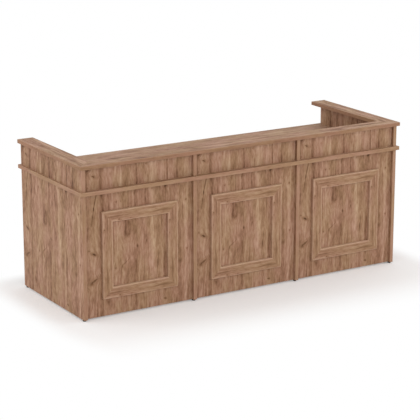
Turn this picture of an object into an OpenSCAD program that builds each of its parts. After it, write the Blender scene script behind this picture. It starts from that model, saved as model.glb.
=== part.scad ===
// Judges table: a three-bay desk with a raised screen round its front and sides.
// It is built from flat boards with banded edges. Each bay of the front carries a mitred moulding frame.
// Lengths are millimetres. X runs along the table, the public front faces -Y and Z is up.
// The origin lies on the floor, under the middle of the desk top.

/* [Overall] */
// Length over the desk top and the cap
overall_length = 2190; // [1900:10:2500]
// Depth over the desk top and the cap
overall_depth = 800; // [700:10:950]
// Height of the desk top's upper face above the floor
desk_height = 750; // [700:5:800]
// Clear height of the screen, from the desk top to the cap
screen_height = 128; // [110:2:200]
// How far the desk top and the cap stand out past the body, all round
overhang = 14; // [8:1:24]

/* [Boards] */
// Thickness of every board
board_t = 22; // [18:1:25]
// Thickness of the banding glued to the visible edges
band_t = 2; // [1:0.5:3]
// Radius of the banding's long corners
band_r = 1; // [0.25:0.25:1]
// Width of the cap boards
cap_width = 100; // [90:5:130]
// How far the panels lie behind the front edges of the uprights
panel_inset = 20; // [12:1:30]
// Depth of the screen's short posts, front to back
post_depth = 64; // [60:1:72]

/* [Mouldings] */
// Bare panel between an upright and the moulding frame
frame_side_margin = 102; // [60:1:160]
// Bare panel above the moulding frame
frame_head_margin = 107; // [60:1:160]
// Bare panel below the moulding frame
frame_foot_margin = 102; // [60:1:160]
// Width of the moulding
mould_w = 66; // [50:1:90]
// Thickness of the moulding
mould_t = 18; // [16:0.5:20]
// Radius of the rounding along both edges of the moulding's face
mould_edge_r = 6; // [2:0.5:9]

/* [Glides] */
// Height of a glide, which is also the gap under the boards
glide_h = 9; // [4:0.5:12]
// Diameter of a glide
glide_d = 20; // [16:1:22]
// Distance from an upright's front or back edge to a glide's centre
glide_setback = 22; // [16:1:60]
// Diameter of a glide's nail
nail_d = 2.2; // [1.6:0.2:3]
// Length of the nail above the glide
nail_l = 16; // [10:1:25]

/* [Cam fittings] */
// Diameter of a cam housing
cam_d = 15; // [12:1:16]
// Height of a cam housing
cam_h = 14.5; // [13:0.5:15]
// Distance from a joint to the cam's centre
cam_reach = 24; // [20:1:34]
// Diameter of a cam bolt's shank
bolt_d = 7; // [6:0.5:8]
// Diameter of the cam bolt's threaded end
bolt_thread_d = 5; // [4:0.5:6]
// Length of the cam bolt's threaded end
bolt_thread_l = 10; // [8:0.5:10]
// Diameter of the cap that covers a cam
cover_d = 18; // [17:1:22]
// Thickness of that cap
cover_t = 1.2; // [0.8:0.2:2]

/* [Dowels, biscuits and screws] */
// Diameter of a dowel
dowel_d = 8; // [6:1:10]
// Depth that a dowel reaches into a board's face
dowel_face_depth = 10; // [8:1:10]
// Depth that a dowel reaches into a board's edge
dowel_edge_depth = 20; // [15:1:25]
// Length of a biscuit in a mitre of the cap
biscuit_l = 56; // [45:1:60]
// Width of a biscuit
biscuit_w = 23; // [16:1:25]
// Thickness of a biscuit
biscuit_t = 4; // [3:0.5:5]
// Diameter of a screw that holds a moulding
screw_d = 4; // [3:0.5:5]
// Diameter of the screw's head
screw_head_d = 8; // [7:0.5:9]
// Depth that the screw reaches into the moulding
screw_bite = 9; // [6:0.5:9]

/* [Hidden] */
$fn = 64;

// Colours of the oak boards, of their banding and mouldings, and of the fittings
oak = [0.64, 0.50, 0.41];
oak_band = [0.67, 0.53, 0.44];
oak_mould = [0.62, 0.48, 0.39];
beech = [0.80, 0.65, 0.46];
black_plastic = [0.06, 0.06, 0.06];
brown_plastic = [0.42, 0.30, 0.22];
zinc = [0.72, 0.72, 0.70];
steel = [0.60, 0.60, 0.62];

// Radial room between a fitting and its hole
fit_room = 0.05;
// Fine joint where two bands of one board meet at a corner
band_joint = 0.1;
// How far a cutting shape runs past the face that it cuts
past = 1;

// Uprights are counted from the left: side panels at the ends, partitions between them
bays = 3;
sides = [0, bays];
partitions = [1, 2];
// The body is the block of uprights below the desk top
body_length = overall_length - 2 * overhang;
body_depth = overall_depth - 2 * overhang;
front_y = -body_depth / 2;
back_y = body_depth / 2;
desk_under = desk_height - board_t;
cap_under = desk_height + screen_height;
bay_w = (body_length - (bays + 1) * board_t) / bays;
panel_y = front_y + panel_inset;
panel_h = desk_under - glide_h;

// Left face, middle and inward direction of upright i, counted from the left
function upright_x(i) = -body_length / 2 + i * (bay_w + board_t);
function upright_mid(i) = upright_x(i) + board_t / 2;
function inward(i) = i < 2 ? 1 : -1;
// Left edge and middle of bay b
function bay_x(b) = upright_x(b) + board_t;
function bay_mid(b) = bay_x(b) + bay_w / 2;

// Outside size of a moulding frame
frame_w = bay_w - 2 * frame_side_margin;
frame_h = panel_h - frame_head_margin - frame_foot_margin;
frame_mid_z = glide_h + frame_foot_margin + frame_h / 2;

// A fitting's place is [point on the joint, way the bolt or dowel points, face that its cam opens on].
// Uprights to the desk top
desk_cam_setback = 120;
function desk_cams(i) = [for (y = [front_y + desk_cam_setback, back_y - desk_cam_setback])
    [[upright_mid(i), y, desk_under], [0, 0, 1], [inward(i), 0, 0]]];
desk_dowel_setback = 90;
function desk_dowels(i) = [for (y = [front_y + desk_dowel_setback, back_y - desk_dowel_setback])
    [[upright_mid(i), y, desk_under], [0, 0, 1]]];
// Front panels to uprights: the middle bay's fittings sit further in, so none meet inside a partition
panel_cam_setback = 120;
panel_dowel_setback = 200;
stagger = 32;
function stagger_of(b) = b == 1 ? stagger : 0;
function panel_heights(b, setback) =
    [glide_h + setback + stagger_of(b), desk_under - setback - stagger_of(b)];
function panel_edge_x(b, side) = bay_mid(b) + side * bay_w / 2;
function panel_cams(b, side) = [for (z = panel_heights(b, panel_cam_setback))
    [[panel_edge_x(b, side), panel_y + board_t / 2, z], [side, 0, 0], [0, 1, 0]]];
function panel_dowels(b, side) = [for (z = panel_heights(b, panel_dowel_setback))
    [[panel_edge_x(b, side), panel_y + board_t / 2, z], [side, 0, 0]]];
// Screen panels and wings to the desk top and the cap: up is 1 at the cap and -1 at the desk top
screen_cam_spread = 200;
function joint_z(up) = up > 0 ? cap_under : desk_height;
function screen_cams(b, up) = [for (s = [-1, 1])
    [[bay_mid(b) + s * screen_cam_spread, panel_y + board_t / 2, joint_z(up)], [0, 0, up], [0, 1, 0]]];
wing_cam_setback = 190;
function wing_cams(i, up) = [for (y = [front_y + wing_cam_setback, back_y - wing_cam_setback])
    [[upright_mid(i), y, joint_z(up)], [0, 0, up], [inward(i), 0, 0]]];
// Posts to the desk top and the cap
post_dowel_setback = 15;
function post_dowels(i, up) = [for (setback = [post_dowel_setback, post_depth - post_dowel_setback])
    [[upright_mid(i), front_y + setback, joint_z(up)], [0, 0, up]]];

// Every fitting of one kind
all_cams = [
    for (i = [0:bays]) each desk_cams(i),
    for (b = [0:bays - 1], side = [-1, 1]) each panel_cams(b, side),
    for (b = [0:bays - 1], up = [-1, 1]) each screen_cams(b, up),
    for (i = sides, up = [-1, 1]) each wing_cams(i, up)
];
all_dowels = [
    for (i = [0:bays]) each desk_dowels(i),
    for (b = [0:bays - 1], side = [-1, 1]) each panel_dowels(b, side),
    for (i = partitions, up = [-1, 1]) each post_dowels(i, up)
];

// Puts a fitting drawn along Z, with its cam opening towards +X, at its place
module at_place(place) {
    point = place[0];
    way = place[1];
    face = len(place) > 2 ? place[2] : (way.z == 0 ? [0, 1, 0] : [1, 0, 0]);
    third = cross(way, face);
    multmatrix([
        [face.x, third.x, way.x, point.x],
        [face.y, third.y, way.y, point.y],
        [face.z, third.z, way.z, point.z]
    ]) children();
}

module at_places(places) {
    for (place = places) at_place(place) children();
}

// Cam fittings. The joint is the plane z = 0 and the cam lies below it.
cam_recess = 0.4;

module cam_cylinder(d, h) {
    translate([board_t / 2 - cam_recess - cam_h, 0, -cam_reach]) rotate([0, 90, 0])
        cylinder(d = d, h = h);
}

module cam_bore() {
    cam_cylinder(cam_d + 2 * fit_room, cam_h + cam_recess + past);
    translate([0, 0, -cam_reach]) cylinder(d = bolt_d + 2 * fit_room, h = cam_reach + past);
}

module bolt_thread_bore() {
    translate([0, 0, -past])
        cylinder(d = bolt_thread_d + 2 * fit_room, h = bolt_thread_l + past + fit_room);
}

// The hollow that the bolt's head sits in, and the cross slot for the screwdriver
cam_hollow_room = 0.4;
slot_w = 1.4;
slot_l = 9;
slot_depth = 1.5;

module cam_housing() {
    difference() {
        cam_cylinder(cam_d, cam_h);
        translate([0, 0, -cam_reach]) cylinder(d = bolt_d + 2 * cam_hollow_room, h = cam_d);
        translate([board_t / 2 - cam_recess, 0, -cam_reach]) {
            cube([2 * slot_depth, slot_l, slot_w], center = true);
            cube([2 * slot_depth, slot_w, slot_l], center = true);
        }
    }
}

// Turned profile of the bolt: head, neck, shank up to the joint, thread beyond it
bolt_head_l = 3;
bolt_head_room = 0.5;
bolt_neck_l = 4;
bolt_neck_d = 4;
bolt_point = 1;

module cam_bolt() {
    head_r = bolt_d / 2 - bolt_head_room;
    head_z = bolt_head_room - cam_reach;
    rotate_extrude() polygon([
        [0, head_z], [head_r, head_z],
        [head_r, head_z + bolt_head_l], [bolt_neck_d / 2, head_z + bolt_head_l],
        [bolt_neck_d / 2, head_z + bolt_head_l + bolt_neck_l],
        [bolt_d / 2, head_z + bolt_head_l + bolt_neck_l],
        [bolt_d / 2, 0], [bolt_thread_d / 2, 0],
        [bolt_thread_d / 2, bolt_thread_l - bolt_point], [bolt_thread_d / 2 - bolt_point, bolt_thread_l],
        [0, bolt_thread_l]
    ]);
}

module cam_cover() {
    translate([board_t / 2, 0, -cam_reach]) rotate([0, 90, 0])
        cylinder(d1 = cover_d, d2 = cover_d - cover_t, h = cover_t);
}

// Dowels. The joint is the plane z = 0, with the board's edge below it and the other board's face above.
module dowel_shape(room = 0) {
    translate([0, 0, -dowel_edge_depth - room])
        cylinder(d = dowel_d + 2 * room, h = dowel_edge_depth + dowel_face_depth + 2 * room);
}

// Uprights: two side panels and two partitions, with banding on their front and back edges
module band_profile() {
    // Section of the banding: x from the board outwards, y through the board's thickness
    r = min(band_r, band_t);
    square([band_t - r, board_t]);
    translate([0, r]) square([band_t, board_t - 2 * r]);
    for (y = [r, board_t - r]) translate([band_t - r, y]) circle(r);
}

// Banding of a given length that stands on z = 0, outer face towards -Y, centred on x = 0
module upright_band(length) {
    translate([-board_t / 2, 0, 0]) rotate([0, 0, -90]) linear_extrude(length) band_profile();
}

// A standing board with a band on its front and back edge
module standing_edging(x_mid, y0, y1, z0, height) {
    color(oak_band) {
        translate([x_mid, y0 + band_t, z0]) upright_band(height);
        translate([x_mid, y1 - band_t, z0]) rotate([0, 0, 180]) upright_band(height);
    }
}

module standing_core(x_mid, y0, y1, z0, height) {
    translate([x_mid - board_t / 2, y0 + band_t, z0]) cube([board_t, y1 - y0 - 2 * band_t, height]);
}

function glide_ys() = [front_y + glide_setback, back_y - glide_setback];

module upright(i) {
    color(oak) difference() {
        standing_core(upright_mid(i), front_y, back_y, glide_h, panel_h);
        at_places(desk_cams(i)) cam_bore();
        at_places(desk_dowels(i)) dowel_shape(fit_room);
        if (i < bays) {
            at_places(panel_cams(i, -1)) bolt_thread_bore();
            at_places(panel_dowels(i, -1)) dowel_shape(fit_room);
        }
        if (i > 0) {
            at_places(panel_cams(i - 1, 1)) bolt_thread_bore();
            at_places(panel_dowels(i - 1, 1)) dowel_shape(fit_room);
        }
        for (y = glide_ys()) translate([upright_mid(i), y, glide_h]) nail_shank(fit_room);
    }
}

module upright_edging(i) {
    standing_edging(upright_mid(i), front_y, back_y, glide_h, panel_h);
}

// Front panels between the uprights
module front_panel(b) {
    color(oak) difference() {
        translate([bay_x(b), panel_y, glide_h]) cube([bay_w, board_t, panel_h]);
        for (side = [-1, 1]) {
            at_places(panel_cams(b, side)) cam_bore();
            at_places(panel_dowels(b, side)) dowel_shape(fit_room);
        }
        moulding_screws_of(b, fit_room);
    }
}

// Desk top: it lies on the uprights and carries the screen
module desk_top() {
    color(oak) difference() {
        translate([-overall_length / 2 + band_t, -overall_depth / 2 + band_t, desk_under])
            cube([overall_length - 2 * band_t, overall_depth - 2 * band_t, board_t]);
        for (i = [0:bays]) {
            at_places(desk_cams(i)) bolt_thread_bore();
            at_places(desk_dowels(i)) dowel_shape(fit_room);
        }
        for (b = [0:bays - 1]) at_places(screen_cams(b, -1)) bolt_thread_bore();
        for (i = sides) at_places(wing_cams(i, -1)) bolt_thread_bore();
        for (i = partitions) at_places(post_dowels(i, -1)) dowel_shape(fit_room);
    }
}

// Banding that lies along X, outer face towards -Y, with its underside on z = 0
module lying_band(length) {
    translate([-length / 2, 0, 0]) rotate([90, 0, 90]) linear_extrude(length)
        mirror([1, 0]) band_profile();
}

module desk_top_edging() {
    color(oak_band) for (turn = [0, 180]) rotate([0, 0, turn]) {
        translate([0, -overall_depth / 2 + band_t, desk_under]) lying_band(overall_length);
        translate([overall_length / 2 - band_t, 0, desk_under]) rotate([0, 0, 90])
            lying_band(overall_depth - 2 * (band_t + band_joint));
    }
}

// Screen: panels, posts over the partitions and wings over the side panels
module screen_panel(b) {
    color(oak) difference() {
        translate([bay_x(b), panel_y, desk_height]) cube([bay_w, board_t, screen_height]);
        for (up = [-1, 1]) at_places(screen_cams(b, up)) cam_bore();
    }
}

module screen_post(i) {
    color(oak) difference() {
        standing_core(upright_mid(i), front_y, front_y + post_depth, desk_height, screen_height);
        for (up = [-1, 1]) at_places(post_dowels(i, up)) dowel_shape(fit_room);
    }
}

module screen_post_edging(i) {
    standing_edging(upright_mid(i), front_y, front_y + post_depth, desk_height, screen_height);
}

module wing(i) {
    color(oak) difference() {
        standing_core(upright_mid(i), front_y, back_y, desk_height, screen_height);
        for (up = [-1, 1]) at_places(wing_cams(i, up)) cam_bore();
    }
}

module wing_edging(i) {
    standing_edging(upright_mid(i), front_y, back_y, desk_height, screen_height);
}

// Cap: three boards, mitred where they meet at the front corners
module cap_front_outline() {
    half = overall_length / 2;
    front = -overall_depth / 2;
    polygon([[-half, front], [half, front], [half - cap_width, front + cap_width],
        [-half + cap_width, front + cap_width]]);
}

module cap_left_outline() {
    left = -overall_length / 2;
    front = -overall_depth / 2;
    polygon([[left, front], [left + cap_width, front + cap_width],
        [left + cap_width, overall_depth / 2], [left, overall_depth / 2]]);
}

// Biscuits lie flat across the two mitres, at half the thickness of the cap.
// Each stays this far from its end of the mitre.
biscuit_end_margin = 7;
biscuit_spread = cap_width * sqrt(2) / 2 - biscuit_end_margin - biscuit_l / 2;
biscuit_fn = 128;

module biscuit_shape(room = 0) {
    // Two equal arcs through the biscuit's tips
    arc_r = (pow(biscuit_l / 2, 2) + pow(biscuit_w / 2, 2)) / biscuit_w;
    drop = arc_r - biscuit_w / 2;
    translate([0, 0, -biscuit_t / 2 - room]) linear_extrude(biscuit_t + 2 * room) intersection() {
        translate([0, drop]) circle(arc_r + room, $fn = biscuit_fn);
        translate([0, -drop]) circle(arc_r + room, $fn = biscuit_fn);
    }
}

module biscuits(room = 0) {
    for (side = [0, 1]) mirror([side, 0, 0]) for (s = [-1, 1])
        translate([(cap_width - overall_length) / 2, (cap_width - overall_depth) / 2, cap_under + board_t / 2])
            rotate([0, 0, 45]) translate([s * biscuit_spread, 0, 0]) biscuit_shape(room);
}

module cap_front() {
    color(oak) difference() {
        intersection() {
            translate([0, 0, cap_under]) linear_extrude(board_t) cap_front_outline();
            translate([-overall_length, -overall_depth / 2 + band_t, cap_under])
                cube([2 * overall_length, cap_width - 2 * band_t, board_t]);
        }
        for (b = [0:bays - 1]) at_places(screen_cams(b, 1)) bolt_thread_bore();
        for (i = partitions) at_places(post_dowels(i, 1)) dowel_shape(fit_room);
        biscuits(fit_room);
    }
}

module cap_front_edging() {
    color(oak_band) intersection() {
        translate([0, 0, cap_under]) linear_extrude(board_t) cap_front_outline();
        union() {
            translate([0, -overall_depth / 2 + band_t, cap_under]) lying_band(overall_length);
            translate([0, -overall_depth / 2 + cap_width - band_t, cap_under]) rotate([0, 0, 180])
                lying_band(overall_length);
        }
    }
}

// The left cap board; the right one is its mirror image
module cap_side_board() {
    intersection() {
        translate([0, 0, cap_under]) linear_extrude(board_t) cap_left_outline();
        translate([-overall_length / 2 + band_t, -overall_depth, cap_under])
            cube([cap_width - 2 * band_t, overall_depth * 3 / 2 - band_t, board_t]);
    }
}

module cap_side_bands() {
    intersection() {
        translate([0, 0, cap_under]) linear_extrude(board_t) cap_left_outline();
        union() {
            translate([-overall_length / 2 + band_t, 0, cap_under]) rotate([0, 0, -90])
                lying_band(overall_depth);
            translate([-overall_length / 2 + cap_width - band_t, 0, cap_under]) rotate([0, 0, 90])
                lying_band(overall_depth);
        }
    }
    translate([cap_width / 2 - overall_length / 2, overall_depth / 2 - band_t, cap_under])
        rotate([0, 0, 180]) lying_band(cap_width - 2 * (band_t + band_joint));
}

module cap_side(side) {
    color(oak) difference() {
        mirror([side, 0, 0]) cap_side_board();
        at_places(wing_cams(sides[side], 1)) bolt_thread_bore();
        biscuits(fit_room);
    }
}

module cap_side_edging(side) {
    color(oak_band) mirror([side, 0, 0]) cap_side_bands();
}

// Mouldings. The section lies with its back on y = 0 and its width along x.
module mould_profile() {
    square([mould_w, mould_t - mould_edge_r]);
    translate([mould_edge_r, 0]) square([mould_w - 2 * mould_edge_r, mould_t]);
    for (x = [mould_edge_r, mould_w - mould_edge_r])
        translate([x, mould_t - mould_edge_r]) circle(mould_edge_r);
}

// A stick of moulding along X, its back on y = 0 and its face towards -Y, rising from z = 0
module mould_stick(length) {
    translate([-length / 2, 0, 0]) rotate([180, -90, 0]) linear_extrude(length) mould_profile();
}

// One mitred member. Turns 0 to 3 are the bottom rail, right stile, top rail and left stile.
module mould_member(b, turn) {
    length = turn % 2 == 0 ? frame_w : frame_h;
    reach = turn % 2 == 0 ? frame_h / 2 : frame_w / 2;
    color(oak_mould) difference() {
        translate([bay_mid(b), panel_y, frame_mid_z]) rotate([0, -90 * turn, 0])
            translate([0, 0, -reach]) intersection() {
                mould_stick(length);
                rotate([90, 0, 0]) linear_extrude(mould_t + past) polygon([
                    [-length / 2, 0], [length / 2, 0],
                    [length / 2 - mould_w, mould_w], [-length / 2 + mould_w, mould_w]
                ]);
            }
        moulding_screws_of(b, fit_room);
    }
}

// Screws from behind the panel into the middle of each moulding
screw_inset = 140;

module screw_shape(room = 0) {
    // The head is flush with the panel's back on z = 0 and the screw points up
    head_h = (screw_head_d - screw_d) / 2;
    length = board_t + screw_bite;
    rotate_extrude() polygon([
        [0, 0], [screw_head_d / 2 + room, 0], [screw_d / 2 + room, head_h + room],
        [screw_d / 2 + room, length - screw_d / 2 + room], [0, length + 2 * room]
    ]);
}

module moulding_screws_of(b, room = 0) {
    for (turn = [0:3]) {
        half = (turn % 2 == 0 ? frame_w : frame_h) / 2;
        reach = turn % 2 == 0 ? frame_h / 2 : frame_w / 2;
        for (s = [-1, 1])
            translate([bay_mid(b), panel_y + board_t, frame_mid_z]) rotate([0, -90 * turn, 0])
                translate([s * (half - screw_inset), 0, mould_w / 2 - reach]) rotate([90, 0, 0])
                    screw_shape(room);
    }
}

// Glides: pads on nails, one near the front and one near the back of each upright
pad_floor = 1.5;
pad_edge = 1;
nail_head_d = 8;
nail_head_h = 1;

module nail_shank(room = 0) {
    cylinder(d = nail_d + 2 * room, h = nail_l - nail_d);
    translate([0, 0, nail_l - nail_d]) cylinder(d1 = nail_d + 2 * room, d2 = nail_d / 4, h = nail_d);
}

module nail(room = 0) {
    translate([0, 0, pad_floor - room]) cylinder(d = nail_head_d + 2 * room, h = nail_head_h + 2 * room);
    translate([0, 0, pad_floor]) cylinder(d = nail_d + 2 * room, h = glide_h - pad_floor + room);
    translate([0, 0, glide_h]) nail_shank(room);
}

module glide(i, end) {
    color(black_plastic) translate([upright_mid(i), glide_ys()[end], 0]) difference() {
        union() {
            cylinder(d1 = glide_d - 2 * pad_edge, d2 = glide_d, h = pad_edge);
            translate([0, 0, pad_edge]) cylinder(d = glide_d, h = glide_h - pad_edge);
        }
        nail(fit_room);
    }
}

module glide_nails() {
    color(steel) for (i = [0:bays], y = glide_ys()) translate([upright_mid(i), y, 0]) nail();
}

module cam_housings() {
    color(zinc) at_places(all_cams) cam_housing();
}

module cam_bolts() {
    color(steel) at_places(all_cams) cam_bolt();
}

module cam_covers() {
    color(brown_plastic) at_places(all_cams) cam_cover();
}

module dowels() {
    color(beech) at_places(all_dowels) dowel_shape();
}

module cap_biscuits() {
    color(beech) biscuits();
}

module moulding_screws() {
    color(steel) for (b = [0:bays - 1]) moulding_screws_of(b);
}

upright(0);  // side_panel_left
upright(1);  // partition_left
upright(2);  // partition_right
upright(3);  // side_panel_right
upright_edging(0);  // side_panel_left_edging
upright_edging(1);  // partition_left_edging
upright_edging(2);  // partition_right_edging
upright_edging(3);  // side_panel_right_edging
front_panel(0);  // front_panel_left
front_panel(1);  // front_panel_centre
front_panel(2);  // front_panel_right
desk_top();
desk_top_edging();
screen_panel(0);  // screen_panel_left
screen_panel(1);  // screen_panel_centre
screen_panel(2);  // screen_panel_right
screen_post(1);  // screen_post_left
screen_post(2);  // screen_post_right
screen_post_edging(1);  // screen_post_left_edging
screen_post_edging(2);  // screen_post_right_edging
wing(0);  // wing_left
wing(3);  // wing_right
wing_edging(0);  // wing_left_edging
wing_edging(3);  // wing_right_edging
cap_front();
cap_front_edging();
cap_side(0);  // cap_left
cap_side_edging(0);  // cap_left_edging
cap_side(1);  // cap_right
cap_side_edging(1);  // cap_right_edging
mould_member(0, 0);  // moulding_left_bottom_rail
mould_member(0, 1);  // moulding_left_right_stile
mould_member(0, 2);  // moulding_left_top_rail
mould_member(0, 3);  // moulding_left_left_stile
mould_member(1, 0);  // moulding_centre_bottom_rail
mould_member(1, 1);  // moulding_centre_right_stile
mould_member(1, 2);  // moulding_centre_top_rail
mould_member(1, 3);  // moulding_centre_left_stile
mould_member(2, 0);  // moulding_right_bottom_rail
mould_member(2, 1);  // moulding_right_right_stile
mould_member(2, 2);  // moulding_right_top_rail
mould_member(2, 3);  // moulding_right_left_stile
glide(0, 0);  // glide_side_left_front
glide(0, 1);  // glide_side_left_back
glide(1, 0);  // glide_partition_left_front
glide(1, 1);  // glide_partition_left_back
glide(2, 0);  // glide_partition_right_front
glide(2, 1);  // glide_partition_right_back
glide(3, 0);  // glide_side_right_front
glide(3, 1);  // glide_side_right_back
glide_nails();
cam_housings();
cam_bolts();
cam_covers();
dowels();
cap_biscuits();
moulding_screws();
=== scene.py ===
# %% [markdown]
# # A judges' table in brown oak board
#
# The object is a long, three-bay desk for three people. It is built from flat laminated boards.
# A raised screen with a flat cap runs round its front and sides, and each bay of the front carries
# a mitred moulding frame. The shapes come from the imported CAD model, which this script never
# changes. The lesson is about the finish: one oak print for all the boards, bands and mouldings,
# which are 42 of the model's pieces.

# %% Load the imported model
import math
from collections import namedtuple

import bpy
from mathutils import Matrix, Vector


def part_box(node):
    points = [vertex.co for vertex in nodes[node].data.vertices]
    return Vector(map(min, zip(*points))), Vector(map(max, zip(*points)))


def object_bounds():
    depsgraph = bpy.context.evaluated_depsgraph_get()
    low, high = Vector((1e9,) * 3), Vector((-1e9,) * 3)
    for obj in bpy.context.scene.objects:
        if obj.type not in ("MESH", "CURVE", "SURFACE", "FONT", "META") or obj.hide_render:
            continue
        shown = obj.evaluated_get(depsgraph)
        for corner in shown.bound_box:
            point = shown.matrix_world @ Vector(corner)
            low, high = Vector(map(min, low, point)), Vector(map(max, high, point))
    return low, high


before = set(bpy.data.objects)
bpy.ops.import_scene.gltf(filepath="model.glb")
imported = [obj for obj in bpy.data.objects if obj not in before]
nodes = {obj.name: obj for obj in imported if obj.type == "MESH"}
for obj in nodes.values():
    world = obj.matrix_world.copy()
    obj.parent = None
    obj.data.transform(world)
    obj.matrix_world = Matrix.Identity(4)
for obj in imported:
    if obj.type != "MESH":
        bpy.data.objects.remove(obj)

cad_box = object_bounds()
print(f"{len(nodes)} nodes, {[round(b - a, 3) for a, b in zip(*cad_box)]} m")

# %% [markdown]
# ## Camera
#
# The photo was taken from the left front, a little above the cap, with a long lens. Its uprights
# stay parallel, which needs a strongly shifted lens. A shift that strong would push the table out
# of every other view, so this camera looks straight at the table and tilts down instead. Its place
# was fitted to the table's corners in the 420 x 420 picture. Most agree to 2 or 3 px, and the
# worst, at the far left top, is off by 5.

# %% Place the camera
PICTURE_WIDTH = 420
SENSOR_WIDTH = 36.0
CAMERA_FOCAL_PX = 1680.7
CAMERA_PLACE = (-5.145, -8.343, 3.088)
CAMERA_TURN = math.radians(31.56)
CAMERA_TILT = math.radians(15.29)

camera_data = bpy.data.cameras.new("camera")
camera_data.sensor_width = SENSOR_WIDTH
camera_data.lens = CAMERA_FOCAL_PX * SENSOR_WIDTH / PICTURE_WIDTH
camera = bpy.data.objects.new("camera", camera_data)
camera.location = CAMERA_PLACE
camera.rotation_euler = (math.pi / 2 - CAMERA_TILT, 0, -CAMERA_TURN)
bpy.context.scene.collection.objects.link(camera)
bpy.context.scene.camera = camera
print(f"lens {camera_data.lens:.1f} mm")

# %% [markdown]
# ## Sums with sockets
#
# A finish is a small program made of nodes. Written out node by node it is hard to read, so one
# class wraps an output socket and lets it take part in ordinary sums: numbers use Math nodes,
# colours and vectors use Vector Math and Mix. Every other node is made by one method, which sets
# the node's settings first and then fills its sockets.


# %% The socket class
class Wire:
    """An output socket that can be used in sums."""

    def __init__(self, tree, socket):
        self.tree = tree
        self.socket = socket

    def node(self, kind, settings=None, sockets=None, out=0):
        """Adds a node of this kind: its settings first, then its sockets, by name or by number."""
        made = self.tree.nodes.new(kind)
        for name, value in (settings or {}).items():
            if name == "stops":
                set_stops(made.color_ramp, value)
            else:
                setattr(made, name, value)
        for name, value in (sockets or {}).items():
            if isinstance(value, Wire):
                self.tree.links.new(value.socket, made.inputs[name])
            else:
                made.inputs[name].default_value = value
        return Wire(self.tree, made.outputs[out])

    def sum(self, operation, first, second=None):
        """One Math node, or one Vector Math node where a vector or a colour takes part."""
        sockets = {0: first} if second is None else {0: first, 1: second}
        if not any(isinstance(term, Wire) and term.socket.type != "VALUE" for term in (first, second)):
            return self.node("ShaderNodeMath", {"operation": operation}, sockets)
        for number, term in sockets.items():
            if isinstance(term, (int, float)):
                sockets[number] = (term, term, term)
        return self.node("ShaderNodeVectorMath", {"operation": operation}, sockets)

    def __add__(self, other):
        return self.sum("ADD", self, other)

    def __radd__(self, other):
        return self.sum("ADD", other, self)

    def __sub__(self, other):
        return self.sum("SUBTRACT", self, other)

    def __rsub__(self, other):
        return self.sum("SUBTRACT", other, self)

    def __mul__(self, other):
        return self.sum("MULTIPLY", self, other)

    def __rmul__(self, other):
        return self.sum("MULTIPLY", other, self)

    def __mod__(self, other):
        return self.sum("FLOORED_MODULO", self, other)

    def __abs__(self):
        return self.sum("ABSOLUTE", self)

    def step(self, low, high, at_low=0.0, at_high=1.0, shape="SMOOTHSTEP"):
        """Goes from at_low to at_high, smoothly or evenly, while this value goes from low to high."""
        ends = {"From Min": low, "From Max": high, "To Min": at_low, "To Max": at_high}
        return self.node("ShaderNodeMapRange", {"interpolation_type": shape}, {"Value": self, **ends})

    def mix(self, first, second):
        """The first colour where this value is 0, the second where it is 1."""
        sockets = {"Factor": self, "A_Color": first, "B_Color": second}
        made = self.tree.nodes.new("ShaderNodeMix")
        made.data_type = "RGBA"
        for socket in made.inputs:
            value = sockets.get(socket.identifier.replace("Factor_Float", "Factor"))
            if isinstance(value, Wire):
                self.tree.links.new(value.socket, socket)
            elif value is not None:
                socket.default_value = value
        return Wire(self.tree, next(s for s in made.outputs if s.type == "RGBA"))

    def at_least(self, low):
        """This value, or low where it is smaller."""
        return self.sum("MAXIMUM", self, low)

    def length(self):
        """The length of this vector."""
        return self.node("ShaderNodeVectorMath", {"operation": "LENGTH"}, {0: self}, out=1)

    def axes(self):
        """The x, y and z of this vector."""
        split = self.node("ShaderNodeSeparateXYZ", None, {0: self})
        return [Wire(self.tree, s) for s in split.socket.node.outputs]

    def noise(self, vector, detail=2.0, rough=0.5, distortion=0.0):
        """Cloudy noise between 0 and 1, with 0.5 in the middle."""
        sockets = {"Vector": vector, "Scale": 1.0, "Detail": detail, "Roughness": rough}
        return self.node("ShaderNodeTexNoise", None, {**sockets, "Distortion": distortion})

    def vector(self, x, y, z=0.0):
        """A vector made of three values."""
        return self.node("ShaderNodeCombineXYZ", None, {0: x, 1: y, 2: z})


def set_stops(ramp, stops):
    """Gives a colour ramp its stops, each a place from 0 to 1 and a colour."""
    while len(ramp.elements) < len(stops):
        ramp.elements.new(0.5)
    for element, (place, colour) in zip(ramp.elements, stops):
        element.position = place
        element.color = colour


print("socket class ready")


# %% Helpers for a finish
def paint(red, green, blue):
    """A colour as a screen shows it, 0 to 255, turned into the linear light that shaders use."""
    linear = [((c / 255 + 0.055) / 1.055) ** 2.4 for c in (red, green, blue)]
    return (*linear, 1)


def new_finish(name, **fixed):
    """A material with one shader. Fixed values go straight on the shader's own sockets."""
    material = bpy.data.materials.new(name)
    material.use_nodes = True
    tree = material.node_tree
    shader = tree.nodes["Principled BSDF"]
    for socket, value in fixed.items():
        shader.inputs[socket.replace("_", " ")].default_value = value
    start = tree.nodes.new("ShaderNodeTexCoord")
    return material, shader, Wire(tree, start.outputs["Object"])


def link(shader, name, wire):
    """Feeds one socket of a shader."""
    wire.tree.links.new(wire.socket, shader.inputs[name])


def add_relief(shader, height, strength, depth):
    """Fine unevenness of a surface, with its depth in metres."""
    relief = {"Strength": strength, "Distance": depth, "Height": height}
    link(shader, "Normal", height.node("ShaderNodeBump", None, relief))


def put_on(material, *names):
    """Gives a finish to CAD nodes."""
    for name in names:
        for slot in nodes[name].material_slots:
            slot.material = material
    print(f"{material.name}: {len(names)} nodes, {len(material.node_tree.nodes)} shader nodes")


print("helpers ready")

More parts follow.
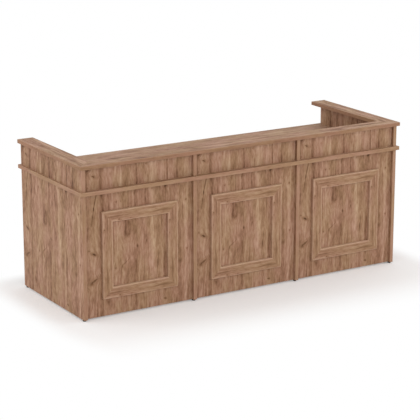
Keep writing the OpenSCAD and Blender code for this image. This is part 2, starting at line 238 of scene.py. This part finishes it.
# %% [markdown]
# ## The oak print
#
# The boards are chipboard under a printed oak paper with a matt skin. The print has layers, from
# broad to fine: bands of lighter and darker wood, patches, flecks, growth lines, thin dark
# streaks, and fibres with pores. The growth lines are a wave, and every other layer is one noise
# that is stretched along the grain. All of them read one wandering coordinate, so they bend
# together, as real grain does. An image of oak would be quicker, but it would tile, and its knots
# couldn't be placed.

# %% Tones of the oak
OAK_TONES = [
    (0.00, paint(80, 50, 30)),
    (0.25, paint(122, 87, 62)),
    (0.50, paint(152, 116, 90)),
    (0.75, paint(173, 139, 114)),
    (1.00, paint(190, 159, 135)),
]
ROSY = (1.028, 0.989, 1.038, 1)
HONEY = (0.982, 1.006, 0.936, 1)
print(f"{len(OAK_TONES)} tones of oak")

# %% Patterns of noise
# Across and along say how many marks fit in a metre. The shift gives each pattern its own part of
# the noise. Detail and rough make it busier, and bend makes it swirl.
Pattern = namedtuple("Pattern", "across along shift detail rough bend")
BANDS = Pattern(26, 0.7, 0, 3.0, 0.62, 0.0)
PATCHES = Pattern(34, 6.0, 5, 3.0, 0.60, 0.5)
FLECKS = Pattern(95, 24, 8, 3.0, 0.62, 0.0)
STREAKS = Pattern(110, 2.4, 11, 3.0, 0.60, 0.0)
FIBRES = Pattern(430, 9, 13, 2.0, 0.60, 0.0)
PORES = Pattern(950, 22, 17, 1.0, 0.50, 0.0)
HUES = Pattern(10, 4.2, 21, 2.0, 0.50, 0.0)
WANDER = Pattern(2.2, 1.4, 31, 2.0, 0.50, 0.0)
RIPPLE = Pattern(12, 7, 37, 2.0, 0.50, 0.0)
RAGGED_RIM = Pattern(90, 60, 41, 2.0, 0.50, 0.0)


def noise_of(pattern, across, along, seed):
    """One pattern, from 0 to 1, at a place in metres across the grain and along it."""
    place = across.vector(across * pattern.across, along * pattern.along, seed + pattern.shift)
    return across.noise(place, pattern.detail, pattern.rough, pattern.bend)


print(f"from {WANDER.across} marks in a metre to {PORES.across}")

# %% How strongly each layer shows
Layers = namedtuple("Layers", "bands patches flecks growth streaks fibres")
BOARD_LAYERS = Layers(bands=0.36, patches=0.86, flecks=0.74, growth=0.03, streaks=0.12, fibres=0.17)
SIDE_LAYERS = Layers(bands=0.42, patches=1.02, flecks=0.86, growth=0.03, streaks=0.14, fibres=0.17)
DESK_LAYERS = Layers(bands=0.80, patches=0.90, flecks=0.62, growth=0.05, streaks=0.34, fibres=0.22)
CAP_LAYERS = Layers(bands=1.10, patches=1.30, flecks=0.50, growth=0.05, streaks=0.30, fibres=0.16)
MOULD_LAYERS = Layers(bands=0.22, patches=0.50, flecks=0.60, growth=0.03, streaks=0.16, fibres=0.18)
BAND_LAYERS = Layers(bands=0.26, patches=0.30, flecks=0.28, growth=0.03, streaks=0.06, fibres=0.12)
print(f"layers: {', '.join(Layers._fields)}")

# %% The tone of the print
MIDDLE_TONE = 0.5
GROWTH_LINES = 62
GROWTH_BEND = 2.2
GROWTH_WIDTH = 0.22
BETWEEN_GROWTH = 0.4
STREAK_LIMITS = (0.50, 0.72)
USUAL_STREAKS = 0.25


def oak_tone(grain, along, seed, layers):
    """The print's tone from 0, dark, to 1, light. Grain and along are in metres."""
    bands = noise_of(BANDS, grain, along, seed) - 0.5
    patches = noise_of(PATCHES, grain, along, seed) - 0.5
    flecks = noise_of(FLECKS, grain, along, seed) - 0.5
    streaks = noise_of(STREAKS, grain, along, seed).step(*STREAK_LIMITS)
    growth = grain * GROWTH_LINES + patches * GROWTH_BEND
    growth = growth.sum("PINGPONG", growth, 0.5)
    tone = MIDDLE_TONE + bands * layers.bands + patches * layers.patches + flecks * layers.flecks
    tone = tone + growth.step(0.0, GROWTH_WIDTH, -layers.growth, layers.growth * BETWEEN_GROWTH)
    return tone - (streaks - USUAL_STREAKS) * layers.streaks


print(f"{GROWTH_LINES} growth lines in a metre")

# %% The skin of the print
PORE_LIMITS = (0.60, 0.74)
PORE_TONE = 0.06
HUE_LIMITS = (0.36, 0.64)
SKIN_ROUGHNESS = 0.60
SKIN_DEPTH = 0.0004


def add_oak_surface(shader, tone, across, grain, along, seed, layers):
    """Turns a tone into colour, gloss and relief."""
    fibres = noise_of(FIBRES, grain, along, seed) - 0.5
    pores = noise_of(PORES, grain, along, seed).step(*PORE_LIMITS)
    tone = tone + fibres * layers.fibres - pores * PORE_TONE
    tint = noise_of(HUES, across, along, seed).step(*HUE_LIMITS).mix(ROSY, HONEY)
    colour = tone.node("ShaderNodeValToRGB", {"stops": OAK_TONES}, {0: tone})
    link(shader, "Base Color", colour * tint)
    link(shader, "Roughness", SKIN_ROUGHNESS + fibres * 0.20 + pores * 0.08)
    add_relief(shader, fibres - pores * 0.7, 0.22, SKIN_DEPTH)


print(f"relief {SKIN_DEPTH * 1000} mm deep")

# %% [markdown]
# ## Marks in the print
#
# An eye knows a piece of wood by its marks. In the photo every bay, every screen and both sides
# show the same marks in the same places, because their paper comes from one printed roll. So the
# marks are written down once, in millimetres: across from the left edge of a bay, and up from the
# floor. A zone is a soft lighter or darker band of full height. A stretch holds zones that keep
# to one part of the height. A line is a dark stroke between two points, or a light one where its
# depth is negative. A knot is a dark ellipse that the grain flows round. The desk top, the cap's
# front and the mouldings have marks of their own, written in the same way.
# Some zones also carry painted light: painted shade beside each moulding frame's left edge, on each
# screen next to the post at its left and on the sides under the cap, and a painted lift in the corner
# beside the next upright.

# %% Kinds of mark
MM = 0.001
FADE = 0.020
Zone = namedtuple("Zone", "across half_width lift")
Stretch = namedtuple("Stretch", "low high zones")
Line = namedtuple("Line", "across_low low across_high high half_width depth")
Knot = namedtuple("Knot", "across along half_length half_width lean depth")
Marks = namedtuple("Marks", "zones stretches lines knots")
NO_MARKS = Marks([], [], [], [])


def zone_lift(grain, zones):
    """How much lighter or darker the zones make the print, all together."""
    lifts = [abs(grain - z.across * MM).step(0.0, z.half_width * MM, z.lift, 0.0) for z in zones]
    return sum(lifts)


def inside(along, low, high):
    """1 between two heights, and fading out just below and above them."""
    return along.step(low * MM - FADE, low * MM) * along.step(high * MM, high * MM + FADE, 1.0, 0.0)


def line_depth(grain, along, line):
    """How much darker one line makes the print."""
    ends = (line.across_low * MM, line.across_high * MM)
    middle = along.step(line.low * MM, line.high * MM, *ends, "LINEAR")
    stroke = abs(grain - middle).step(0.0, line.half_width * MM, line.depth, 0.0)
    return stroke * inside(along, line.low, line.high)


def knot_distance(spot, knot):
    """0 in the middle of a knot and 1 at its rim. The lean is the angle of its long axis."""
    place = {
        "Vector": spot,
        "Location": (knot.across * MM, knot.along * MM, 0),
        "Rotation": (0, 0, math.radians(knot.lean)),
        "Scale": (knot.half_length * MM, knot.half_width * MM, 1),
    }
    return spot.node("ShaderNodeMapping", {"vector_type": "TEXTURE"}, place).length()


print(f"kinds of mark: {', '.join(Marks._fields)}")

# %% The finish of a board
# The bends are in metres. The distances from a knot are counted from 0 in its middle to 1 at its
# rim: its dark core, the soft shade round it, and how far off the grain still makes room for it.
WANDER_BEND, RIPPLE_BEND = 0.036, 0.015
MARK_BEND = 0.012
RIM_RAGGEDNESS = 1.1
KNOT_CORE = (0.15, 1.25)
KNOT_SHADE = (1.0, 3.4)
KNOT_SHADE_SHARE = 0.22
KNOT_ROOM = (0.6, 4.0)


def oak(name, place_print, marks=NO_MARKS, seed=0.0, layers=BOARD_LAYERS, lift=0.0, edge=None):
    """An oak finish. place_print turns x, y and z into the print's across and along, in metres."""
    material, shader, place = new_finish(name, Specular_IOR_Level=0.2)
    across, along = place_print(*place.axes())
    spot = across.vector(across, along)
    wander = noise_of(WANDER, across, along, seed) - 0.5
    ripple = noise_of(RIPPLE, across, along, seed) - 0.5
    ragged = (noise_of(RAGGED_RIM, across, along, seed) - 0.5) * RIM_RAGGEDNESS
    grain = across + wander * WANDER_BEND + ripple * RIPPLE_BEND
    marked = across + ripple * MARK_BEND
    tone = lift
    for knot in marks.knots:
        distance = knot_distance(spot, knot) + ragged
        grain = grain - (across - knot.across * MM) * distance.step(*KNOT_ROOM, 0.5, 0.0)
        tone = tone - distance.step(*KNOT_CORE, knot.depth, 0.0)
        tone = tone - distance.step(*KNOT_SHADE, knot.depth * KNOT_SHADE_SHARE, 0.0)
    for line in marks.lines:
        tone = tone - line_depth(marked, along, line)
    for stretch in marks.stretches:
        tone = tone + zone_lift(marked, stretch.zones) * inside(along, stretch.low, stretch.high)
    tone = oak_tone(grain, along, seed, layers) + tone + zone_lift(marked, marks.zones)
    if edge:
        tone = edge(across) + tone
    add_oak_surface(shader, tone, across, grain, along, seed, layers)
    return material


print("oak finish ready")

# %% [markdown]
# ## Front, screen and side boards
#
# A bay is measured from its own left edge, so the x coordinate is taken modulo the distance from
# one bay to the next. On the sides the same print is about a tenth wider, because one bay of it
# fills the depth of the table, and it is read from left to right as a person beside the table
# sees it. The partitions and the screen posts stand like the sides and take their print.

# %% Zones of a bay
ZONES = [
    Zone(50, 26, 0.08),
    # Partly a dark streak of the print, partly painted shade beside the moulding frame's left edge.
    Zone(105, 24, -0.14),
    Zone(206, 24, 0.10),
    Zone(231, 16, 0.08),
    Zone(259, 16, -0.11),
    Zone(290, 14, 0.05),
    Zone(324, 20, -0.15),
    Zone(354, 16, -0.07),
    Zone(430, 26, 0.15),
    Zone(491, 20, 0.12),
    Zone(560, 26, 0.04),
    Zone(608, 20, -0.13),
    Zone(650, 20, 0.12),
    # Partly print, partly painted light that lifts the shade in the corner beside the next upright.
    Zone(686, 14, 0.12),
]
SCREEN_ZONES = [
    Zone(345, 600, 0.06),
    # Painted shade on the screen just right of the post at its left.
    Zone(17, 13, -0.20),
    Zone(98, 34, -0.04),
    Zone(202, 16, -0.06),
    Zone(229, 9, 0.16),
    Zone(280, 44, -0.10),
    Zone(332, 8, -0.26),
    Zone(350, 13, -0.08),
    Zone(376, 5, -0.18),
    Zone(431, 16, 0.08),
    Zone(484, 12, 0.08),
    Zone(518, 6, 0.14),
    Zone(531, 5, -0.24),
    Zone(580, 38, -0.09),
    Zone(604, 10, 0.14),
    Zone(623, 9, -0.12),
]
HEAD_ZONES = [
    Zone(345, 600, -0.05),
    Zone(50, 20, 0.10),
    Zone(124, 34, -0.12),
    Zone(150, 15, -0.12),
    Zone(173, 8, 0.16),
    Zone(216, 40, 0.07),
    Zone(259, 18, 0.15),
    Zone(308, 13, 0.20),
    Zone(357, 10, 0.12),
    Zone(414, 15, 0.12),
    Zone(505, 32, -0.12),
    Zone(567, 12, -0.09),
    Zone(600, 26, 0.10),
]
FOOT_ZONES = [
    Zone(42, 28, 0.11),
    Zone(288, 32, 0.13),
    Zone(364, 12, 0.11),
    Zone(443, 14, -0.10),
    Zone(676, 13, 0.10),
]
# Painted shade: the side boards are darker from 760 to 880 mm, standing in for the shadow under the
# cap's overhang.
WING_SHADE_ZONES = [Zone(350, 700, -0.12)]
BAY_STRETCHES = [
    Stretch(752, 880, SCREEN_ZONES),
    Stretch(620, 715, HEAD_ZONES),
    Stretch(30, 80, FOOT_ZONES),
]
SIDE_STRETCHES = [*BAY_STRETCHES, Stretch(760, 880, WING_SHADE_ZONES)]
print(f"{len(ZONES)} zones of full height, {sum(len(s.zones) for s in BAY_STRETCHES)} shorter ones")

# %% Lines and knots of a bay
LINES = [
    Line(57, 640, 76, 720, 6, 0.42),
    Line(44, 555, 57, 640, 6, 0.24),
    Line(276, 620, 274, 730, 4, 0.24),
    Line(388, 640, 390, 730, 4, 0.24),
    Line(221, 205, 235, 286, 8, 0.20),
    Line(235, 286, 281, 322, 8, 0.18),
    Line(456, 180, 469, 335, 5, 0.26),
    Line(71, 10, 71, 82, 4, 0.22),
    Line(289, 40, 289, 110, 4, 0.26),
    Line(268, 450, 268, 540, 34, 0.08),
    Line(335, 340, 336, 540, 12, 0.08),
    Line(362, 400, 360, 480, 8, -0.05),
    Line(508, 170, 508, 320, 24, 0.10),
    Line(317, 180, 325, 300, 6, 0.18),
    Line(297, 180, 300, 290, 26, 0.06),
    Line(345, 180, 348, 300, 8, -0.10),
    Line(255, 330, 250, 430, 10, -0.08),
]
SCREEN_KNOTS = [
    Knot(27, 864, 12, 6, 30, 0.28),
    Knot(56, 827, 13, 5, -28, 0.44),
    Knot(391, 859, 7, 5, 0, 0.26),
    Knot(164, 830, 9, 7, 90, 0.14),
    Knot(24, 764, 9, 8, 90, 0.26),
]
HEAD_KNOTS = [
    Knot(200, 664, 5, 4, 0, 0.26),
    Knot(230, 664, 6, 4, 90, 0.28),
    Knot(432, 711, 9, 5, 0, 0.20),
    Knot(518, 714, 11, 5, 0, 0.38),
    Knot(651, 616, 8, 6, 0, 0.30),
]
STRIP_KNOTS = [
    Knot(27, 402, 10, 5, -20, 0.26),
    Knot(56, 380, 15, 6, -28, 0.46),
    Knot(47, 352, 22, 12, 90, 0.10),
    Knot(56, 224, 23, 8, 33, 0.44),
    Knot(38, 212, 20, 14, 60, 0.12),
    Knot(657, 325, 8, 6, 90, 0.26),
    Knot(614, 250, 24, 9, 90, 0.15),
]
FIELD_KNOTS = [
    Knot(277, 468, 24, 17, 80, 0.28),
    Knot(275, 536, 11, 9, 90, 0.16),
    Knot(332, 389, 14, 5, 90, 0.28),
    Knot(389, 407, 17, 5, 80, 0.26),
    Knot(193, 279, 9, 5, 90, 0.28),
    Knot(521, 307, 30, 8, 90, 0.18),
    Knot(425, 204, 6, 5, 0, 0.22),
]
FOOT_KNOTS = [Knot(143, 79, 18, 8, 100, 0.20), Knot(511, 46, 15, 6, -15, 0.36)]
KNOTS = SCREEN_KNOTS + HEAD_KNOTS + STRIP_KNOTS + FIELD_KNOTS + FOOT_KNOTS
BAY_MARKS = Marks(ZONES, BAY_STRETCHES, LINES, KNOTS)
SIDE_MARKS = Marks(ZONES, SIDE_STRETCHES, LINES, KNOTS)
print(f"{len(LINES)} lines, {len(KNOTS)} knots")

# %% Front, screen and side boards
PRINT_SEED = 1.0
BAYS = ("left", "centre", "right")
panel_low, panel_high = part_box("front_panel_left")
bay_left, bay_width = panel_low.x, panel_high.x - panel_low.x
bay_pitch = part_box("front_panel_centre")[0].x - bay_left
side_low, side_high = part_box("side_panel_left")
print_stretch = bay_width / (side_high.y - side_low.y)
print(f"a bay is {bay_width:.3f} m wide, and the next one starts after {bay_pitch:.3f} m")


def on_front(x, y, z):
    return (x - bay_left) % bay_pitch, z


def on_left_side(x, y, z):
    return (side_high.y - y) * print_stretch, z


def on_right_side(x, y, z):
    return (y - side_low.y) * print_stretch, z


front_oak = oak("oak_front", on_front, BAY_MARKS, PRINT_SEED)
put_on(front_oak, *[f"{board}_{bay}" for board in ("front_panel", "screen_panel") for bay in BAYS])
left_oak = oak("oak_left", on_left_side, SIDE_MARKS, PRINT_SEED, SIDE_LAYERS)
put_on(left_oak, "side_panel_left", "wing_left", "partition_left", "screen_post_left")
right_oak = oak("oak_right", on_right_side, SIDE_MARKS, PRINT_SEED, SIDE_LAYERS)
put_on(right_oak, "side_panel_right", "wing_right", "partition_right", "screen_post_right")

# %% [markdown]
# ## Desk top and cap
#
# The long boards carry the print along the table, and the cap's side boards along the sides, so
# the grain meets at an angle in the mitres. Each has a part of the print of its own. The desk top
# and the cap's front also have a few knots, because plain noise over two metres looks like
# nothing that grew. The photo shows only a narrow strip of the desk top, and the rest of its
# print is a guess.

# %% Marks of the desk top and cap
DESK_SEED, CAP_FRONT_SEED, CAP_SIDE_SEED = 61.0, 67.0, 71.0
DESK_LIFT = 0.03
DESK_KNOTS = [
    Knot(684, 523, 60, 9, 90, 0.24),
    Knot(560, 1330, 34, 10, 88, 0.30),
    Knot(470, 1795, 16, 8, 92, 0.34),
    Knot(300, 905, 22, 9, 90, 0.34),
    Knot(330, 268, 14, 7, 86, 0.30),
    Knot(205, 1560, 18, 8, 93, 0.32),
    Knot(640, 2010, 12, 7, 90, 0.28),
]
DESK_LINES = [
    Line(612, 640, 600, 1010, 5, 0.20),
    Line(388, 1120, 402, 1520, 5, 0.20),
    Line(250, 300, 262, 660, 4, 0.18),
    Line(520, 150, 512, 420, 4, 0.18),
]
DESK_MARKS = Marks([], [], DESK_LINES, DESK_KNOTS)
CAP_MARKS = Marks([], [], [], [Knot(36, 760, 26, 5, 90, 0.26), Knot(44, 1640, 18, 6, 90, 0.26)])
print(f"{len(DESK_KNOTS)} knots and {len(DESK_LINES)} lines on the desk top")

# %% Lying boards
table_left, table_front, _ = cad_box[0]


def along_table(x, y, z):
    return y - side_low.y, x - table_left


def along_side(x, y, z):
    return x, y - table_front


desk_oak = oak("oak_desk_top", along_table, DESK_MARKS, DESK_SEED, DESK_LAYERS, lift=DESK_LIFT)
put_on(desk_oak, "desk_top")
put_on(oak("oak_cap_front", along_table, CAP_MARKS, CAP_FRONT_SEED, CAP_LAYERS), "cap_front")
cap_side_oak = oak("oak_cap_sides", along_side, seed=CAP_SIDE_SEED, layers=CAP_LAYERS)
put_on(cap_side_oak, "cap_left", "cap_right")

# %% [markdown]
# ## Edge banding
#
# A band is a thin strip of the same print. It is calmer than a board, because only a narrow
# slice of the pattern fits on it. Bands of lying boards run along x and along y, so the sum of
# both is the way along. In the photo the belt is a little lighter than the cap's edge, and so are
# the upright bands. The upper arris of the belt and of the cap's edge carries a painted highlight.
# Each of these is a lift of the tone, which costs less than a finish for every board.

# %% Banding
STANDING_SEED, LYING_SEED = 83.0, 97.0
STANDING_LIFT = 0.06
BELT_LIFT = 0.05
CAP_EDGE_LIFT = -0.07
ARRIS_HIGHLIGHT = 0.14
ARRIS_HEIGHT = 0.004
BAND_LEAN = 3.0
desk_low, desk_high = [corner.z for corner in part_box("desk_top")]
cap_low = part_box("cap_front")[0].z
board_thickness = desk_high - desk_low
standing_bands = [n for n in nodes if n.endswith("_edging") and not n.startswith(("cap", "desk"))]
lying_bands = [n for n in nodes if n.endswith("_edging") and n.startswith(("cap", "desk"))]


def on_standing_band(x, y, z):
    """The lean gives the front and the back band of a board different parts of the print."""
    return x, z + BAND_LEAN * y


def on_lying_band(x, y, z):
    return z, x + y


def arris_highlight(across):
    """Paints a highlight along the upper arris and sets the belt off from the cap. Across is the height
    here.
    """
    up_the_board = (across - desk_low) % (cap_low - desk_low)
    # Painted highlight along the upper arris of each lying board.
    pale = up_the_board.step(board_thickness - ARRIS_HEIGHT, board_thickness, 0.0, ARRIS_HIGHLIGHT)
    return pale + across.step(desk_high, cap_low, BELT_LIFT, CAP_EDGE_LIFT)


standing = {"seed": STANDING_SEED, "layers": BAND_LAYERS, "lift": STANDING_LIFT}
put_on(oak("oak_standing_bands", on_standing_band, **standing), *standing_bands)
lying = {"seed": LYING_SEED, "layers": BAND_LAYERS, "edge": arris_highlight}
put_on(oak("oak_lying_bands", on_lying_band, **lying), *lying_bands)

# %% [markdown]
# ## Mouldings
#
# Each frame is four lengths of a wrapped moulding, mitred at the corners. The print runs along
# every length, so rails and stiles need their own direction, and the mitres then show as a
# change of grain. Both rounded edges of a member are painted lighter, and at the top and right
# edges this is a painted highlight where the light falls.

# %% The marks of a moulding
MOULD_ZONES = [Zone(27, 14, -0.02)]
MOULD_LINES = [
    Line(33, 20, 30, 220, 3, 0.10),
    Line(45, 60, 49, 380, 4, 0.09),
    Line(9, 25, 9, 95, 9, -0.16),
    Line(22, 240, 27, 430, 4, 0.09),
]
MOULD_KNOTS = [
    Knot(12, 105, 7, 5, 90, 0.30),
    Knot(10, 180, 8, 4, 90, 0.18),
    Knot(50, 330, 16, 4, 90, 0.14),
]
MOULD_MARKS = Marks(MOULD_ZONES, [], MOULD_LINES, MOULD_KNOTS)
print(f"{len(MOULD_LINES)} lines and {len(MOULD_KNOTS)} knots on a moulding")

# %% Wrapped mouldings
MOULD_SEED = 200.0
stile_low, stile_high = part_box("moulding_left_left_stile")
mould_width = stile_high.x - stile_low.x
# The pale edges begin and end so many metres from the near side of a member.
NEAR_EDGE, FAR_EDGE = (0.002, 0.009), (mould_width - 0.009, mould_width - 0.004)
# The far edge's lift is a painted highlight; the near edge is paler too.
NEAR_LIFT, FAR_HIGHLIGHT = 0.26, 0.30


def highlit_and_pale_edges(across):
    """Paints both rounded edges of a member lighter, the far one, the top of a rail and the right of a
    stile, as a painted highlight.
    """
    return across.step(*NEAR_EDGE, NEAR_LIFT, 0.0) + across.step(*FAR_EDGE, 0.0, FAR_HIGHLIGHT)


def on_stile(side):
    low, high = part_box(f"moulding_left_{side}_stile")
    return lambda x, y, z: ((x - low.x) % bay_pitch, high.z - z)


def on_rail(end):
    low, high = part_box(f"moulding_left_{end}_rail")
    return lambda x, y, z: (z - low.z, (x - low.x) % bay_pitch)


for member, place_print in (
    ("left_stile", on_stile("left")),
    ("right_stile", on_stile("right")),
    ("top_rail", on_rail("top")),
    ("bottom_rail", on_rail("bottom")),
):
    wrap = oak(f"oak_{member}", place_print, MOULD_MARKS, MOULD_SEED, MOULD_LAYERS, edge=highlit_and_pale_edges)
    put_on(wrap, *[f"moulding_{bay}_{member}" for bay in BAYS])

# %% [markdown]
# ## Fittings
#
# Under the uprights sit small black pads on nails. Behind the panels, brown caps cover the cam
# fittings, and the housings, bolts, dowels, biscuits and screws lie hidden in the boards. They are
# small, so plain colours with a little wear and grit are enough.

# %% Plastic, metal and beech
# How many marks fit in a metre, and how deep the grit is in metres.
GRIT, WEAR, TARNISH = 900.0, 60.0, 140.0
BEECH_FLECKS = (900.0, 900.0, 180.0)
GRIT_DEPTH = 0.0002


def plastic(name, colour, roughness):
    material, shader, place = new_finish(name, Specular_IOR_Level=0.3)
    grit = place.noise(place * GRIT, 2.0)
    wear = place.noise(place * WEAR, 3.0)
    dusty = [c * 1.6 + 0.004 for c in colour[:3]]
    link(shader, "Base Color", wear.step(0.35, 0.8).mix(colour, (*dusty, 1)))
    link(shader, "Roughness", roughness + (wear - 0.5) * 0.25)
    add_relief(shader, grit, 0.3, GRIT_DEPTH)
    return material


def metal(name, colour, roughness, grain):
    material, shader, place = new_finish(name, Metallic=1.0)
    dull = place.noise(place * TARNISH, 3.0)
    fine = place.noise(place * grain, 2.0)
    shade = [c * 0.62 for c in colour[:3]]
    link(shader, "Base Color", dull.step(0.35, 0.75).mix(colour, (*shade, 1)))
    link(shader, "Roughness", roughness + (dull - 0.5) * 0.2)
    add_relief(shader, fine, 0.25, GRIT_DEPTH)
    return material


def beech(name):
    material, shader, place = new_finish(name, Roughness=0.6)
    flecks = place.noise(place * BEECH_FLECKS, 2.0)
    colour = flecks.step(0.45, 0.7).mix(paint(214, 178, 132), paint(180, 138, 96))
    link(shader, "Base Color", colour)
    add_relief(shader, flecks, 0.3, GRIT_DEPTH)
    return material


pads = [n for n in nodes if n.startswith("glide_") and n != "glide_nails"]
put_on(plastic("black_plastic", paint(14, 13, 13), 0.5), *pads)
put_on(plastic("brown_plastic", paint(122, 88, 64), 0.45), "cam_covers")
put_on(metal("cast_zinc", paint(190, 190, 186), 0.42, 1500.0), "cam_housings")
put_on(metal("steel", paint(176, 176, 180), 0.3, 2600.0), "glide_nails", "cam_bolts", "moulding_screws")
put_on(beech("beech"), "dowels", "cap_biscuits")

# %% [markdown]
# ## Floor and light
#
# The photo is a studio picture on white. The floor is pale, and it is blended into a painted white
# glow that is full 0.7 m in front of the table and 0.25 m from its ends and its back, so the grey
# shadow round its foot is painted shorter at the ends and back than in front. Even at the foot a
# little of the glow lightens the shadow. The glow shows to the camera and in reflections only, so
# no extra light falls on the table.
# The light is a bright dome with four large soft lamps, at the left, in front, at the right front
# and high on the right. Their shares were fitted to the brightness of the table's faces.

# %% Floor
FLOOR_HALF = 40.0
FLOOR_COLOUR = paint(246, 244, 243)
NEAR_GLOW = 0.18
WHITE_FROM, WHITE_BY = 0.20, 0.70
SIDE_HASTE = 2.8
table_half_length, table_half_depth = cad_box[1][0], cad_box[1][1]

floor_mesh = bpy.data.meshes.new("floor")
corners = [(x * FLOOR_HALF, y * FLOOR_HALF, 0) for x, y in ((-1, -1), (1, -1), (1, 1), (-1, 1))]
floor_mesh.from_pydata(corners, [], [(0, 1, 2, 3)])
floor = bpy.data.objects.new("floor", floor_mesh)
bpy.context.scene.collection.objects.link(floor)

floor_finish, floor_shader, place = new_finish("floor", Roughness=0.9, Specular_IOR_Level=0.1)
floor_shader.inputs["Base Color"].default_value = FLOOR_COLOUR
x, y, _ = place.axes()
outside_x = (abs(x) - table_half_length).at_least(0.0)
in_front = (y * -1 - table_half_depth).at_least(0.0)
behind = (y - table_half_depth).at_least(0.0)
away = x.vector(outside_x * SIDE_HASTE, behind * SIDE_HASTE + in_front).length()


def seen_by(tree):
    """1 for rays that show a picture: from the camera, in a reflection or through glass."""
    rays = tree.nodes.new("ShaderNodeLightPath").outputs
    kinds = ("Is Camera Ray", "Is Glossy Ray", "Is Transmission Ray")
    camera_ray, glossy_ray, through_ray = [Wire(tree, rays[kind]) for kind in kinds]
    return camera_ray + glossy_ray + through_ray


white = place.node("ShaderNodeEmission", None, {"Color": (1, 1, 1, 1), "Strength": 1.0})
# Painted glow that lightens the floor's shadow and cuts it short, sooner at the ends and back.
glow = away.step(WHITE_FROM, WHITE_BY, NEAR_GLOW, 1.0) * seen_by(place.tree)
pale = Wire(place.tree, floor_shader.outputs[0])
blend = place.node("ShaderNodeMixShader", None, {0: glow, 1: pale, 2: white})
place.tree.links.new(blend.socket, place.tree.nodes["Material Output"].inputs["Surface"])
floor_mesh.materials.append(floor_finish)
print("floor laid")

# %% Lamps and world
AMBIENT = 0.80
AIM = Vector((0.0, 0.0, 0.5))
LAMPS = [
    ("left_lamp", (-4.5, 1.2, 2.6), 3.0, 58),
    ("front_lamp", (-0.5, -6.0, 2.8), 3.0, 62),
    ("right_front_lamp", (4.2, -4.2, 2.8), 3.0, 50),
    ("right_high_lamp", (4.0, 0.0, 4.2), 2.5, 20),
]


def lamp(name, place, size, power):
    """A large soft lamp that looks at the middle of the table."""
    data = bpy.data.lights.new(name, "AREA")
    data.size = size
    data.energy = power
    made = bpy.data.objects.new(name, data)
    made.location = place
    made.rotation_euler = (AIM - made.location).to_track_quat("-Z", "Y").to_euler()
    bpy.context.scene.collection.objects.link(made)


for lamp_row in LAMPS:
    lamp(*lamp_row)

world = bpy.data.worlds.new("studio")
bpy.context.scene.world = world
world.use_nodes = True
dome = world.node_tree.nodes["Background"]
dome.inputs["Color"].default_value = (1, 1, 1, 1)
dome.inputs["Strength"].default_value = AMBIENT
sky = Wire(world.node_tree, dome.outputs[0])
backdrop = sky.node("ShaderNodeBackground", None, {"Color": (1, 1, 1, 1), "Strength": 1.0})
shown = sky.node("ShaderNodeMixShader", None, {0: seen_by(sky.tree), 1: sky, 2: backdrop})
world.node_tree.links.new(shown.socket, world.node_tree.nodes["World Output"].inputs["Surface"])
bpy.context.scene.view_settings.view_transform = "Standard"
print(f"{len(LAMPS)} lamps and a dome")

# %% [markdown]
# ## End

# %% End
print("scene ready")
